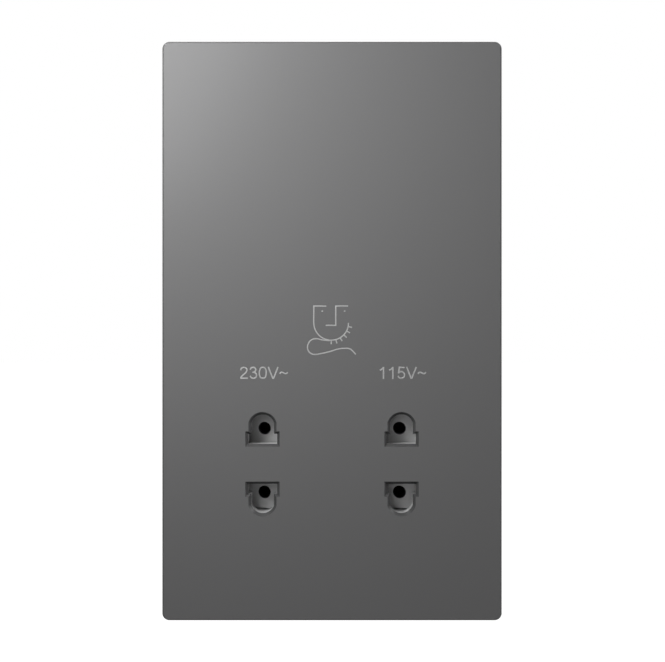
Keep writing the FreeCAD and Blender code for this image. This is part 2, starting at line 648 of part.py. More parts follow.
def make_core_i():
    return core_outline([(-3, 1.5), (3, 1.5), (3, 2.5), (-3, 2.5)])


def coil_slab(half_x, half_y, r, z0, z1):
    """A rounded rectangle about the core's centre limb, between two heights."""
    block = box(-half_x, half_x, CORE_Y - half_y, CORE_Y + half_y, z0, z1)
    return block.makeFillet(r, [e for e in block.Edges if abs(e.tangentAt(e.FirstParameter).z) > 0.5])


def coil_levels():
    """Heights of the bobbin's ends and of the two faces of its middle flange."""
    low = CORE_Z - 1.5 * LIMB + BOBBIN_GAP
    high = CORE_Z + 1.5 * LIMB - BOBBIN_GAP
    room = high - low - 3 * BOBBIN_T
    mid = low + BOBBIN_T + room * PRIMARY_SHARE
    return low, mid, mid + BOBBIN_T, high


def make_bobbin():
    low, mid, mid_top, high = coil_levels()
    tube = box(-TUBE_HALF_X, TUBE_HALF_X, CORE_Y - TUBE_HALF_Y, CORE_Y + TUBE_HALF_Y, low, high)
    flanges = [box(-COIL_HALF_X, COIL_HALF_X, CORE_Y - COIL_HALF_Y, CORE_Y + COIL_HALF_Y, z, z + BOBBIN_T)
               for z in (low, mid, high - BOBBIN_T)]
    hole = box(-LIMB - BOBBIN_GAP, LIMB + BOBBIN_GAP, CORE_Y - STACK / 2 - BOBBIN_GAP,
               CORE_Y + STACK / 2 + BOBBIN_GAP, low, high)
    return fused([tube] + flanges).cut(hole)


def make_winding(z0, z1):
    outer = coil_slab(WINDING_HALF_X, WINDING_HALF_Y, COIL_CORNER_R, z0, z1)
    return outer.cut(box(-TUBE_HALF_X, TUBE_HALF_X, CORE_Y - TUBE_HALF_Y, CORE_Y + TUBE_HALF_Y, z0, z1))


def make_tape(spans):
    bands = []
    for z0, z1 in spans:
        outer = coil_slab(WINDING_HALF_X + TAPE_T, WINDING_HALF_Y + TAPE_T, COIL_CORNER_R + TAPE_T, z0, z1)
        bands.append(outer.cut(coil_slab(WINDING_HALF_X, WINDING_HALF_Y, COIL_CORNER_R, z0, z1)))
    return Part.makeCompound(bands)


def make_cutout(z0, z1):
    """Flat thermal cut-out lying on the primary's tape, behind the coil."""
    y = CORE_Y + WINDING_HALF_Y + TAPE_T + CUTOUT_GAP
    z = (z0 + z1) / 2
    return box(-CUTOUT_W / 2, CUTOUT_W / 2, y, y + CUTOUT_T, z - CUTOUT_H / 2, z + CUTOUT_H / 2)


def make_terminal_block():
    """Insulating block with a pocket for each terminal, open towards the cover."""
    block = box(-BLOCK_HALF_W, BLOCK_HALF_W, SHALLOW_Y, BLOCK_BACK,
                BLOCK_Z - BLOCK_HALF_H, BLOCK_Z + BLOCK_HALF_H)
    rear = [e for e in block.Edges if e.BoundBox.YMin > BLOCK_BACK - BLOCK_EDGE]
    block = block.makeChamfer(BLOCK_EDGE, rear)
    holes = []
    for x in TERMINALS_X:
        hw, hh = TERMINAL_W / 2 + TERMINAL_GAP, TERMINAL_H / 2 + TERMINAL_GAP
        holes.append(box(x - hw, x + hw, SHALLOW_Y, TERMINAL_Y + TERMINAL_D + TERMINAL_GAP,
                         BLOCK_Z - hh, BLOCK_Z + hh))
        holes.append(rod_y(SCREW_ACCESS_R, x, BLOCK_Z, TERMINAL_Y, BLOCK_BACK))
        holes.append(box(x - WIRE_ENTRY_HALF_W, x + WIRE_ENTRY_HALF_W, SHALLOW_Y, WIRE_Y + WIRE_ENTRY_HALF_W,
                         BLOCK_Z - BLOCK_HALF_H, BLOCK_Z))
    for x in BLOCK_SCREWS_X:
        holes.append(rod_y(BLOCK_SCREW_R + 2 * SCREW_GAP, x, BLOCK_Z, SHALLOW_Y, BLOCK_BACK))
        holes.append(rod_y(BLOCK_SCREW_HEAD_R + 2 * SCREW_GAP, x, BLOCK_Z, BLOCK_SCREW_SEAT, BLOCK_BACK))
    return block.cut(holes)


def make_terminal(x):
    """Brass block with a cross hole for the wire, a clamp screw's hole and a tail through the cover."""
    back = TERMINAL_Y + TERMINAL_D
    half_h = TERMINAL_H / 2
    body = box(x - TERMINAL_W / 2, x + TERMINAL_W / 2, TERMINAL_Y, back, BLOCK_Z - half_h, BLOCK_Z + half_h)
    long_edges = [e for e in body.Edges if abs(e.tangentAt(e.FirstParameter).z) > 0.5]
    body = body.makeChamfer(TAIL_T / 2, long_edges)
    tail = box(x - TAIL_W / 2, x + TAIL_W / 2, TERMINAL_Y - TAIL_L, TERMINAL_Y + TAIL_T,
               BLOCK_Z - TAIL_T / 2, BLOCK_Z + TAIL_T / 2)
    wire = rod(WIRE_R, V(x, WIRE_Y, BLOCK_Z - half_h), V(x, WIRE_Y, BLOCK_Z + half_h))
    thread = rod_y(TERMINAL_SCREW_R + SCREW_GAP, x, BLOCK_Z, WIRE_Y, back)
    return fused([body, tail]).cut([wire, thread])


def make_terminal_screws():
    """Headless clamp screws with a driver slot, backed off so that the wires' holes are clear."""
    tip = WIRE_Y + WIRE_R + TERMINAL_GAP
    end = tip + TERMINAL_SCREW_L
    half = TERMINAL_SCREW_R * SLOT_WIDTH_SHARE
    screws = []
    for x in TERMINALS_X:
        slot = box(x - half, x + half, end - TERMINAL_SLOT_D, end, BLOCK_Z - TERMINAL_W, BLOCK_Z + TERMINAL_W)
        screws.append(rod_y(TERMINAL_SCREW_R, x, BLOCK_Z, tip, end).cut(slot))
    return Part.makeCompound(screws)


def make_earth_spring():
    """Strip through the frame: a tag behind it, and a tongue in front that presses on the plate."""
    foot = -FRAME_T - STRIP_T / 2
    touch = PLATE_BACK + STRIP_T / 2 + EARTH_TOUCH_GAP
    z = EARTH_Z - EARTH_W / 2
    bend = EARTH_X + EARTH_FOOT_L
    tip = bend + EARTH_TONGUE_L
    line = [V(EARTH_X, EARTH_TAG_L, z), V(EARTH_X, foot, z), V(bend, foot, z), V(tip, touch, z),
            V(tip + EARTH_TIP_L, touch + EARTH_TIP_DROP, z)]
    return strip(line, UP * EARTH_W)


def screw_group(places, seat, size, head_r, head_h, bite):
    return Part.makeCompound([screw(x, z, seat, size, head_r, head_h, seat - bite) for x, z in places])


def build():
    low, mid, mid_top, high = coil_levels()
    primary = (low + BOBBIN_T, mid)
    secondary = (mid_top, high - BOBBIN_T)
    left, right = OUTLETS_X
    parts = {
        "front_plate": make_front_plate(),
        "front_housing": make_front_housing(),
        "outlet_insert": make_outlet_insert(),
        "rear_cover": make_rear_cover(),
        "left_shutter": make_shutter(left),
        "right_shutter": make_shutter(right),
        "left_shutter_spring": make_spring(left),
        "right_shutter_spring": make_spring(right),
        "contact_carrier": make_contact_carrier(),
        "common_contact": make_contact([left, right], 1, 0.0),
        "contact_230v": make_contact([left], -1, left),
        "contact_115v": make_contact([right], -1, right),
        "core_e_laminations": make_core_e(),
        "core_i_laminations": make_core_i(),
        "bobbin": make_bobbin(),
        "primary_winding": make_winding(*primary),
        "secondary_winding": make_winding(*secondary),
        "winding_tape": make_tape([primary, secondary]),
        "thermal_cutout": make_cutout(*primary),
        "terminal_block": make_terminal_block(),
        "terminal_screws": make_terminal_screws(),
        "earth_spring": make_earth_spring(),
        "case_screws": screw_group(EARS, EAR_T, CASE_SCREW_R, CASE_SCREW_HEAD_R, CASE_SCREW_HEAD_H,
                                   EAR_T - PLATE_BACK - CASE_SCREW_END_GAP),
        "block_screws": screw_group([(x, BLOCK_Z) for x in BLOCK_SCREWS_X], BLOCK_SCREW_SEAT, BLOCK_SCREW_R,
                                    BLOCK_SCREW_HEAD_R, BLOCK_SCREW_HEAD_H,
                                    BLOCK_SCREW_SEAT - SHALLOW_Y + BLOCK_SCREW_BITE),
    }
    for name, x in zip(("live_terminal", "neutral_terminal", "earth_terminal"), TERMINALS_X):
        parts[name] = make_terminal(x)
    return parts


def main():
    os.makedirs("parts", exist_ok=True)
    for name, shape in build().items():
        shape.exportStep(os.path.join("parts", name + ".step"))
        print(f"{name}: {len(shape.Solids)} solids, valid {shape.isValid()}, {shape.Volume:.1f} mm3")


main()
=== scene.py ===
"""Looks of a two-outlet shaver socket, laid round its fixed frame.

Metres. X is right, Z is up and Y runs into the wall; the origin is the plate's centre on the wall.
"""
import math

import bmesh
import bpy
from bpy.props import FloatProperty, FloatVectorProperty, IntProperty, PointerProperty, StringProperty
from mathutils import Matrix, Vector


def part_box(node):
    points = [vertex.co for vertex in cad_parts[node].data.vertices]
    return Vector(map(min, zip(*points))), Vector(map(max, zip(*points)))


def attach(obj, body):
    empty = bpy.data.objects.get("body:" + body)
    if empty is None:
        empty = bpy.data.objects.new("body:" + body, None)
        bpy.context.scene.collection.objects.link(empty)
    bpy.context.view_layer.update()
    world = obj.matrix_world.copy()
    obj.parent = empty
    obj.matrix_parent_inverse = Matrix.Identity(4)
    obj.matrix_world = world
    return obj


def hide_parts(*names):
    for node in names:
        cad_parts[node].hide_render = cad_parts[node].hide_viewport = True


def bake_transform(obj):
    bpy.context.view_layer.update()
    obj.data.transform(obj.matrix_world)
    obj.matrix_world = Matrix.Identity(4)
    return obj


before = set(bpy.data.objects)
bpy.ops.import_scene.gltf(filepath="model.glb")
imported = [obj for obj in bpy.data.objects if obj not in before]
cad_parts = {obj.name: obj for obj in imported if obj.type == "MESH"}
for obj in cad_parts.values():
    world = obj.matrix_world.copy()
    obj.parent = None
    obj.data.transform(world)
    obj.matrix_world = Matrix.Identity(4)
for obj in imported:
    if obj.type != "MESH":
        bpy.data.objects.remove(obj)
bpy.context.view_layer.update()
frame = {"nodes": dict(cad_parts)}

bl_info = {
    "name": "Shaver socket looks",
    "version": (1, 0, 0),
    "blender": (4, 5, 0),
    "location": "3D View > Sidebar > Shaver socket",
    "description": "Finishes, printed marks, springs and stage of a two-outlet shaver socket",
    "category": "Object",
}

MM = 0.001
FIXED = "fixed_body"
SIDES = ("left", "right")

# Half sizes of the field round the plate's centre in which the openings lie, where the bevels take the darker
# painted shade
OPENING_FIELD_X, OPENING_FIELD_Z = 35 * MM, 60 * MM
# Reach of the painted shade on the shutters round the pin holes, and reach and depth of the painted shade on
# the contacts' clip leaves
PILOT_PAINTED_SHADE_R = 1.65 * MM
CLIP_PAINTED_SHADE_R, CLIP_PAINTED_SHADE_DEPTH = 4.6 * MM, 9.1 * MM
# Scales of a grain along X, Y and Z: it is drawn out along an axis whose scale is small
STRIP_GRAIN = (0.15, 1.0, 1.0)
BAR_GRAIN = (1.0, 1.0, 0.12)
SCREW_GRAIN = (1.0, 0.5, 1.0)
WIRE_GRAIN = (1.0, 0.3, 0.3)
# Thickness of a sheet of the core, and of each winding's wire
SHEET = 0.5 * MM
PRIMARY_WIRE, SECONDARY_WIRE = 0.2 * MM, 0.3 * MM
# The bands of a wave texture at a scale of one lie this far apart
WAVE_BAND_PITCH = 2 * math.pi / 20
# Capital height in the characters' own units
CAPITAL_UNITS = 716
# Sides of the spring wire's section
WIRE_SIDES = 10
# Half the floor's side, the share of its colour that takes light, and the glow that the camera sees
FLOOR_HALF = 3.0
FLOOR_SHARE, FLOOR_GLOW = 0.175, 0.92

# Places read from the frame
PLATE_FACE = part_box("front_plate")[0].y
SHUTTER_BOXES = {side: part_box(side + "_shutter") for side in SIDES}
SPRING_BOXES = {side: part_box(side + "_shutter_spring") for side in SIDES}
OUTLET_X = {side: (low.x + high.x) / 2 for side, (low, high) in SHUTTER_BOXES.items()}


def colour(name, description, default):
    return FloatVectorProperty(name=name, description=description, default=default,
                               subtype="COLOR", size=3, min=0.0, max=1.0)


def length(name, description, default):
    return FloatProperty(name=name, description=description, default=default,
                         unit="LENGTH", subtype="DISTANCE", precision=5)


def share(name, description, default):
    return FloatProperty(name=name, description=description, default=default,
                         subtype="FACTOR", min=0.0, max=1.0)


def lamp_power(name, description, default):
    return FloatProperty(name=name, description=description, default=default, unit="POWER")


def lamp_place(name, description, default):
    return FloatVectorProperty(name=name, description=description, default=default,
                               subtype="XYZ_LENGTH", unit="LENGTH", size=3)


# Sizes and colours that a user would change
class SHAVERSOCKET_PG_stage(bpy.types.PropertyGroup):
    lens: FloatProperty(name="Lens", description="Focal length of the camera", default=50.0,
                        unit="CAMERA", subtype="DISTANCE")
    reach: length("Camera distance", "From the lens to the plate's face", 0.23365)
    aim_x: length("Camera shift right", "How far the camera stands right of the plate's centre", 0.00012)
    floor_z: length("Floor height", "Height of the floor under the plate's centre", -0.11)
    floor_colour: colour("Floor", "Colour of the floor", (0.8, 0.8, 0.8))
    room_level: share("Room light", "Grey level of the light that comes from all round", 0.032)
    key_power: lamp_power("Main lamp", "Power of the soft lamp at the upper left", 0.30)
    key_size: length("Main lamp size", "Side of the soft lamp", 0.112)
    key_place: lamp_place("Main lamp place", "Where the soft lamp stands", (-0.0778, -0.0874, 0.0993))
    side_power: lamp_power("Side lamp", "Power of the soft lamp at the upper right", 2.4)
    side_size: length("Side lamp size", "Side of the side lamp", 0.25)
    side_place: lamp_place("Side lamp place", "Where the side lamp stands", (0.55, -0.13, 0.30))
    fill_power: lamp_power("Fill lamp", "Power of the large soft lamp behind the camera", 0.192)
    fill_size: length("Fill lamp size", "Side of the fill lamp", 0.3)
    fill_place: lamp_place("Fill lamp place", "Where the fill lamp stands", (-0.05, -0.5, 0.05))
    back_power: lamp_power("Rear lamps", "Power of each of the two soft lamps at the rear", 2.1)
    back_size: length("Rear lamp size", "Side of each rear lamp", 0.4)
    back_place: lamp_place("Rear lamp place", "Where the right rear lamp stands", (0.40, 0.55, 0.58))


class SHAVERSOCKET_PG_finishes(bpy.types.PropertyGroup):
    plate: colour("Plate", "Anthracite metal of the front plate", (0.154, 0.154, 0.155))
    # Painted shade: the plate's outer edge and the openings' bevels are painted darker than the face,
    # standing in for their shade
    plate_edge_painted_shade: colour("Plate edge", "Tone of the plate's outer edge", (0.094, 0.094, 0.095))
    opening_bevel_painted_shade: colour("Opening edges", "Darker tone of the openings' bevels", (0.068, 0.068, 0.069))
    plate_roughness: share("Plate roughness", "How matt the plate is", 0.3)
    plate_metallic: share("Plate metal", "How metallic the plate's satin coat is", 0.0)
    ink: colour("Ink", "Printed marks", (0.425, 0.425, 0.425))
    frame: colour("Frame", "Moulding of the mounting frame", (0.070, 0.070, 0.073))
    insert: colour("Insert", "Moulding that lines the openings", (0.60, 0.60, 0.60))
    shutter: colour("Shutters", "Sliding shutters", (0.67, 0.67, 0.67))
    # Painted shade: near-black painted on the shutters round the pin holes' axes, standing in for the shade
    # deep in the holes
    pin_hole_painted_shade: colour("Deep holes", "Tone at the bottom of the pin holes", (0.004, 0.004, 0.004))
    carrier: colour("Contact carrier", "Moulding that holds the contacts", (0.012, 0.012, 0.012))
    cover: colour("Rear cover", "Rear half of the case", (0.64, 0.64, 0.62))
    block: colour("Terminal block", "Natural nylon of the terminal block", (0.62, 0.60, 0.54))
    brass: colour("Brass", "Contacts and terminals", (0.72, 0.52, 0.24))
    # Painted shade: near-black painted on the brass clip leaves behind the pin holes, not a tarnish of the
    # brass
    clip_painted_shade: colour("Tarnish", "Darkened brass inside the clips", (0.005, 0.004, 0.003))
    steel: colour("Spring steel", "Springs", (0.50, 0.50, 0.50))
    zinc: colour("Zinc plating", "Screws", (0.62, 0.62, 0.60))
    core: colour("Core", "Varnished laminations", (0.10, 0.095, 0.09))
    bobbin: colour("Bobbin", "Glass-filled moulding of the bobbin", (0.025, 0.025, 0.025))
    copper: colour("Copper", "Enamelled wire", (0.52, 0.20, 0.08))
    tape: colour("Tape", "Polyester tape round the coil", (0.62, 0.42, 0.05))
    cutout: colour("Thermal cut-out", "Case of the thermal cut-out", (0.03, 0.03, 0.03))


class SHAVERSOCKET_PG_print(bpy.types.PropertyGroup):
    left_mark: StringProperty(name="Left mark", description="Voltage of the left outlet", default="230V~")
    right_mark: StringProperty(name="Right mark", description="Voltage of the right outlet", default="115V~")
    capital: length("Capital height", "Height of a printed capital", 3.14 * MM)
    left_span: length("Left mark width", "Width of the left mark", 12.17 * MM)
    right_span: length("Right mark width", "Width of the right mark", 11.87 * MM)
    left_x: length("Left mark centre", "Centre of the left mark", -17.18 * MM)
    right_x: length("Right mark centre", "Centre of the right mark", 17.94 * MM)
    base_z: length("Base line", "Height of the marks' base line", -12.15 * MM)
    stroke: length("Symbol stroke", "Width of the symbol's lines", 0.31 * MM)
    letter_stroke: length("Character stroke", "Width of a character's lines", 0.37 * MM)
    film: length("Ink film", "How far the ink stands on the plate", 0.006 * MM)


class SHAVERSOCKET_PG_springs(bpy.types.PropertyGroup):
    wire: length("Wire", "Diameter of the spring wire", 0.5 * MM)
    turns: IntProperty(name="Turns", description="Turns of each spring", default=6, min=2, max=20)
    steps: IntProperty(name="Steps a turn", description="Sections of each turn", default=24, min=8, max=48)


# Node-based materials
class Finish:
    """A material and the few nodes that its pattern needs."""

    def __init__(self, name, base, roughness, metallic=0.0):
        self.material = bpy.data.materials.new(name)
        self.material.use_nodes = True
        self.tree = self.material.node_tree
        self.shader = self.tree.nodes["Principled BSDF"]
        self.shader.inputs["Base Color"].default_value = (*base, 1.0)
        self.shader.inputs["Roughness"].default_value = roughness
        self.shader.inputs["Metallic"].default_value = metallic
        self.base = tuple(base)
        self.tone = None
        self.relief = None
        self.material.diffuse_color = (*base, 1.0)
        coordinates = self.node("ShaderNodeTexCoord")
        self.place = self.node("ShaderNodeMapping")
        self.link(coordinates.outputs["Object"], self.place.inputs["Vector"])

    def node(self, kind):
        return self.tree.nodes.new(kind)

    def link(self, start, end):
        self.tree.links.new(start, end)

    def noise(self, scale, detail, stretch=None):
        """A noise pattern on the piece's own coordinates, drawn out along an axis where stretch is given."""
        place = self.place
        if stretch:
            place = self.node("ShaderNodeMapping")
            place.inputs["Scale"].default_value = stretch
            self.link(self.place.outputs["Vector"], place.inputs["Vector"])
        texture = self.node("ShaderNodeTexNoise")
        texture.inputs["Scale"].default_value = scale
        texture.inputs["Detail"].default_value = detail
        self.link(place.outputs["Vector"], texture.inputs["Vector"])
        return texture.outputs["Fac"]

    def bands(self, axis, pitch, waver):
        """Bands across an axis, a pitch apart, that waver a little."""
        texture = self.node("ShaderNodeTexWave")
        texture.wave_type = "BANDS"
        texture.bands_direction = axis
        texture.inputs["Scale"].default_value = WAVE_BAND_PITCH / pitch
        texture.inputs["Distortion"].default_value = waver
        self.link(self.place.outputs["Vector"], texture.inputs["Vector"])
        return texture.outputs["Fac"]

    def grain(self, height, depth):
        """Relief from a height pattern, on top of any relief so far."""
        bump = self.node("ShaderNodeBump")
        bump.inputs["Strength"].default_value = 1.0
        bump.inputs["Distance"].default_value = depth
        self.link(height, bump.inputs["Height"])
        if self.relief is not None:
            self.link(self.relief, bump.inputs["Normal"])
        self.relief = bump.outputs["Normal"]
        self.link(self.relief, self.shader.inputs["Normal"])

    def spread(self, pattern, low, high):
        """A pattern brought to lie between two values."""
        ramp = self.node("ShaderNodeMapRange")
        ramp.inputs["To Min"].default_value = low
        ramp.inputs["To Max"].default_value = high
        self.link(pattern, ramp.inputs["Value"])
        return ramp.outputs["Result"]

    def tint(self, pattern, other):
        """Blends the tone so far into another colour by a pattern."""
        mix = self.node("ShaderNodeMix")
        mix.data_type = "RGBA"
        mix.inputs["A"].default_value = (*self.base, 1.0)
        mix.inputs["B"].default_value = (*other, 1.0)
        if self.tone is not None:
            self.link(self.tone, mix.inputs["A"])
        self.link(pattern, mix.inputs["Factor"])
        self.tone = mix.outputs["Result"]
        self.link(self.tone, self.shader.inputs["Base Color"])

    def vary_roughness(self, pattern, low, high):
        self.link(self.spread(pattern, low, high), self.shader.inputs["Roughness"])

    def math(self, operation, first, second):
        """A Math node on one socket and on another socket or a number."""
        node = self.node("ShaderNodeMath")
        node.operation = operation
        self.link(first, node.inputs[0])
        if isinstance(second, float):
            node.inputs[1].default_value = second
        else:
            self.link(second, node.inputs[1])
        return node.outputs["Value"]

    def coordinate(self, axis):
        split = self.node("ShaderNodeSeparateXYZ")
        self.link(self.place.outputs["Vector"], split.inputs["Vector"])
        return split.outputs[axis]

    def within(self, axis, reach):
        """One where a coordinate is less than a reach away from nought, and nought elsewhere."""
        return self.math("LESS_THAN", self.math("ABSOLUTE", self.coordinate(axis), 0.0), reach)

    def near_axes(self, axes, radius):
        """One within a radius of any of a few axes that run into the wall, and nought elsewhere."""
        flat = self.node("ShaderNodeMapping")
        flat.inputs["Scale"].default_value = (1.0, 0.0, 1.0)
        self.link(self.place.outputs["Vector"], flat.inputs["Vector"])
        any_axis = None
        for x, z in axes:
            reach = self.node("ShaderNodeVectorMath")
            reach.operation = "DISTANCE"
            self.link(flat.outputs["Vector"], reach.inputs[0])
            reach.inputs[1].default_value = (x, 0.0, z)
            near = self.math("LESS_THAN", reach.outputs["Value"], radius)
            any_axis = near if any_axis is None else self.math("MAXIMUM", any_axis, near)
        return any_axis


def scaled(base, factor):
    return tuple(min(1.0, c * factor) for c in base)


def dress(node, finish):
    """Gives a CAD node its finish."""
    piece = frame["nodes"][node]
    piece.data.materials.clear()
    piece.data.materials.append(finish.material)


def moulding(name, base, roughness, texture=900.0, depth=0.02 * MM, gloss=0.5):
    """Moulded plastic: fine eroded texture, and faint flow marks in a lighter tone."""
    play = 0.06
    finish = Finish(name, base, roughness)
    finish.shader.inputs["Specular IOR Level"].default_value = gloss
    fine = finish.noise(scale=texture, detail=6.0)
    flow = finish.noise(scale=38.0, detail=3.0, stretch=(1.0, 1.0, 0.35))
    finish.grain(fine, depth)
    finish.tint(finish.spread(flow, low=0.0, high=0.35), scaled(base, factor=1.22))
    finish.vary_roughness(fine, roughness - play, roughness + play)
    return finish


def pin_axes(sides):
    """Places of the pins' axes in the outlets, from the contacts' clips."""
    low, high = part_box("common_contact")
    upper = (low.z + high.z) / 2
    low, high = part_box("contact_230v")
    lower = (low.z + high.z) / 2
    return [(OUTLET_X[side], z) for side in sides for z in (upper, lower)]


def rolled_metal(name, base, roughness, stretch):
    """Sheet or drawn metal with fine streaks along its grain."""
    smoother, rougher = 0.08, 0.1
    finish = Finish(name, base, roughness, metallic=1.0)
    streaks = finish.noise(scale=1400.0, detail=4.0, stretch=stretch)
    clouds = finish.noise(scale=160.0, detail=3.0)
    finish.grain(streaks, depth=0.012 * MM)
    finish.tint(finish.spread(clouds, low=0.0, high=0.5), scaled(base, factor=0.78))
    finish.vary_roughness(streaks, roughness - smoother, roughness + rougher)
    return finish


def plate_metal(finishes):
    """Anthracite metal with a fine satin grain, and painted shade where it turns away from the front: darker
    on its outer edge, darker still on the openings' bevels.
    """
    gloss, play = 0.1, 0.03
    flat, turned = 0.98, 0.85
    roughness = finishes.plate_roughness
    finish = Finish("anthracite_plate_metal", finishes.plate, roughness, finishes.plate_metallic)
    finish.shader.inputs["Specular IOR Level"].default_value = gloss
    satin = finish.noise(scale=2600.0, detail=3.0)
    clouds = finish.noise(scale=26.0, detail=2.0)
    finish.tint(finish.spread(clouds, low=0.0, high=0.10), scaled(finishes.plate, factor=1.25))
    # Painted shade: faces that turn away from the front, the outer edge and the openings' bevels, are tinted
    # darker
    surface = finish.node("ShaderNodeNewGeometry")
    facing = finish.node("ShaderNodeVectorMath")
    facing.operation = "DOT_PRODUCT"
    facing.inputs[1].default_value = (0.0, -1.0, 0.0)
    finish.link(surface.outputs["True Normal"], facing.inputs[0])
    edge = finish.node("ShaderNodeMapRange")
    edge.inputs["From Min"].default_value = flat
    edge.inputs["From Max"].default_value = turned
    finish.link(facing.outputs["Value"], edge.inputs["Value"])
    finish.tint(edge.outputs["Result"], finishes.plate_edge_painted_shade)
    field = finish.math("MULTIPLY", finish.within("X", OPENING_FIELD_X), finish.within("Z", OPENING_FIELD_Z))
    finish.tint(finish.math("MULTIPLY", field, edge.outputs["Result"]), finishes.opening_bevel_painted_shade)
    finish.grain(satin, depth=0.006 * MM)
    finish.vary_roughness(satin, roughness - play, roughness + play)
    return finish


def printed_ink(base):
    """Screen-printed ink with a faint weave of the screen."""
    finish = Finish("printed_ink", base, roughness=0.55)
    weave = finish.noise(scale=5200.0, detail=2.0)
    finish.grain(weave, depth=0.004 * MM)
    finish.tint(finish.spread(weave, low=0.0, high=0.3), scaled(base, factor=0.85))
    return finish


def laminations(base, pitch):
    """Stacked steel sheets under varnish: a dark joint at each sheet's face."""
    finish = Finish("varnished_laminations", base, roughness=0.42, metallic=0.6)
    sheets = finish.bands("Y", pitch, waver=0.4)
    varnish = finish.noise(scale=210.0, detail=5.0)
    finish.tint(finish.spread(sheets, low=0.0, high=0.6), scaled(base, factor=0.45))
    finish.grain(sheets, depth=0.06 * MM)
    finish.grain(varnish, depth=0.02 * MM)
    finish.vary_roughness(varnish, low=0.34, high=0.55)
    return finish


def wound_wire(base, pitch):
    """Layers of enamelled wire, one turn above the other."""
    finish = Finish("enamelled_wire", base, roughness=0.28, metallic=0.75)
    turns = finish.bands("Z", pitch, waver=0.2)
    finish.tint(finish.spread(turns, low=0.0, high=0.7), scaled(base, factor=0.4))
    finish.grain(turns, depth=0.12 * MM)
    return finish


def film_tape(base):
    """Glossy polyester film with laps and small wrinkles."""
    finish = Finish("polyester_tape", base, roughness=0.22)
    laps = finish.bands("Z", pitch=6.1 * MM, waver=0.1)
    wrinkles = finish.noise(scale=320.0, detail=3.0, stretch=(1.0, 1.0, 0.2))
    finish.tint(finish.spread(laps, low=0.0, high=0.3), scaled(base, factor=0.6))
    finish.grain(wrinkles, depth=0.06 * MM)
    finish.vary_roughness(wrinkles, low=0.15, high=0.32)
    return finish


# Making of pieces
def add_piece(name, mesh, finish):
    piece = bpy.data.objects.new(name, mesh)
    bpy.context.scene.collection.objects.link(piece)
    mesh.materials.clear()
    mesh.materials.append(finish.material)
    return piece


def mesh_of(curve_object):
    """The mesh of a curve object, which is then removed."""
    bpy.context.scene.collection.objects.link(curve_object)
    bpy.context.view_layer.update()
    source = curve_object.evaluated_get(bpy.context.evaluated_depsgraph_get())
    mesh = bpy.data.meshes.new_from_object(source)
    data = curve_object.data
    bpy.data.objects.remove(curve_object)
    bpy.data.curves.remove(data)
    return mesh


def upright(mesh):
    """Turns a mesh drawn in XY so that its Y becomes Z and its face looks to the front."""
    mesh.transform(Matrix.Rotation(math.pi / 2, 4, "X"))


def mesh_span(mesh, axis):
    values = [v.co[axis] for v in mesh.vertices]
    return min(values), max(values)


class InkPen:
    """Draws strokes of even width; a point is given in units of a length, from a start that can move on."""

    def __init__(self, name, stroke, unit):
        self.name = name
        self.unit = unit
        self.start = 0.0
        self.data = bpy.data.curves.new(name, "CURVE")
        self.data.dimensions = "3D"
        self.data.bevel_depth = stroke / 2
        self.data.bevel_resolution = 2
        self.data.use_fill_caps = True
        self.data.resolution_u = 6

    def place(self, point):
        return ((self.start + point[0]) * self.unit, point[1] * self.unit, 0.0)

    def line(self, points):
        """Straight strokes from point to point, each with ends of its own."""
        for ends in zip(points, points[1:]):
            spline = self.data.splines.new("POLY")
            spline.points.add(1)
            for point, end in zip(spline.points, ends):
                point.co = (*self.place(end), 1.0)

    def curve(self, points, closed=False):
        """One smooth stroke through all the points."""
        spline = self.data.splines.new("BEZIER")
        spline.bezier_points.add(len(points) - 1)
        for knot, point in zip(spline.bezier_points, points):
            knot.co = self.place(point)
            knot.handle_left_type = knot.handle_right_type = "AUTO"
        spline.use_cyclic_u = closed

    def loop(self, points):
        self.curve(points, closed=True)

    def mesh(self):
        mesh = mesh_of(bpy.data.objects.new(self.name, self.data))
        upright(mesh)
        return mesh


# Centre lines of the printed characters, in thousandths of the type size: width, then strokes
CHARACTERS = {
    "0": (556, [("loop", [(278, 675), (395, 640), (462, 510), (478, 358), (462, 206), (395, 76), (278, 41),
                          (161, 76), (94, 206), (78, 358), (94, 510), (161, 640)])]),
    "1": (556, [("line", [(331, 0), (331, 712)]),
                ("curve", [(322, 700), (284, 622), (212, 562), (112, 512)])]),
    "2": (556, [("curve", [(88, 512), (112, 605), (180, 660), (272, 676), (368, 655), (435, 590), (448, 510),
                           (420, 430), (350, 345), (255, 262), (165, 180), (105, 100), (84, 42)]),
                ("line", [(62, 42), (506, 42)])]),
    "3": (556, [("curve", [(92, 545), (128, 622), (188, 664), (265, 677), (350, 655), (405, 600), (418, 535),
                           (395, 460), (330, 405), (225, 388)]),
                ("curve", [(225, 388), (330, 382), (410, 340), (460, 275), (466, 200), (430, 110), (360, 55),
                           (272, 41), (185, 60), (125, 110), (88, 190)])]),
    "5": (556, [("line", [(475, 674), (150, 674)]), ("line", [(166, 690), (112, 335)]),
                ("curve", [(112, 345), (190, 405), (270, 425), (365, 405), (440, 340), (468, 240), (450, 140),
                           (380, 65), (272, 41), (185, 60), (125, 105), (86, 185)])]),
    "V": (667, [("line", [(44, 714), (322, 12)]), ("line", [(623, 714), (345, 12)])]),
    "~": (584, [("curve", [(60, 300), (108, 370), (190, 392), (290, 352), (390, 312), (470, 332),
                           (524, 402)])]),
}


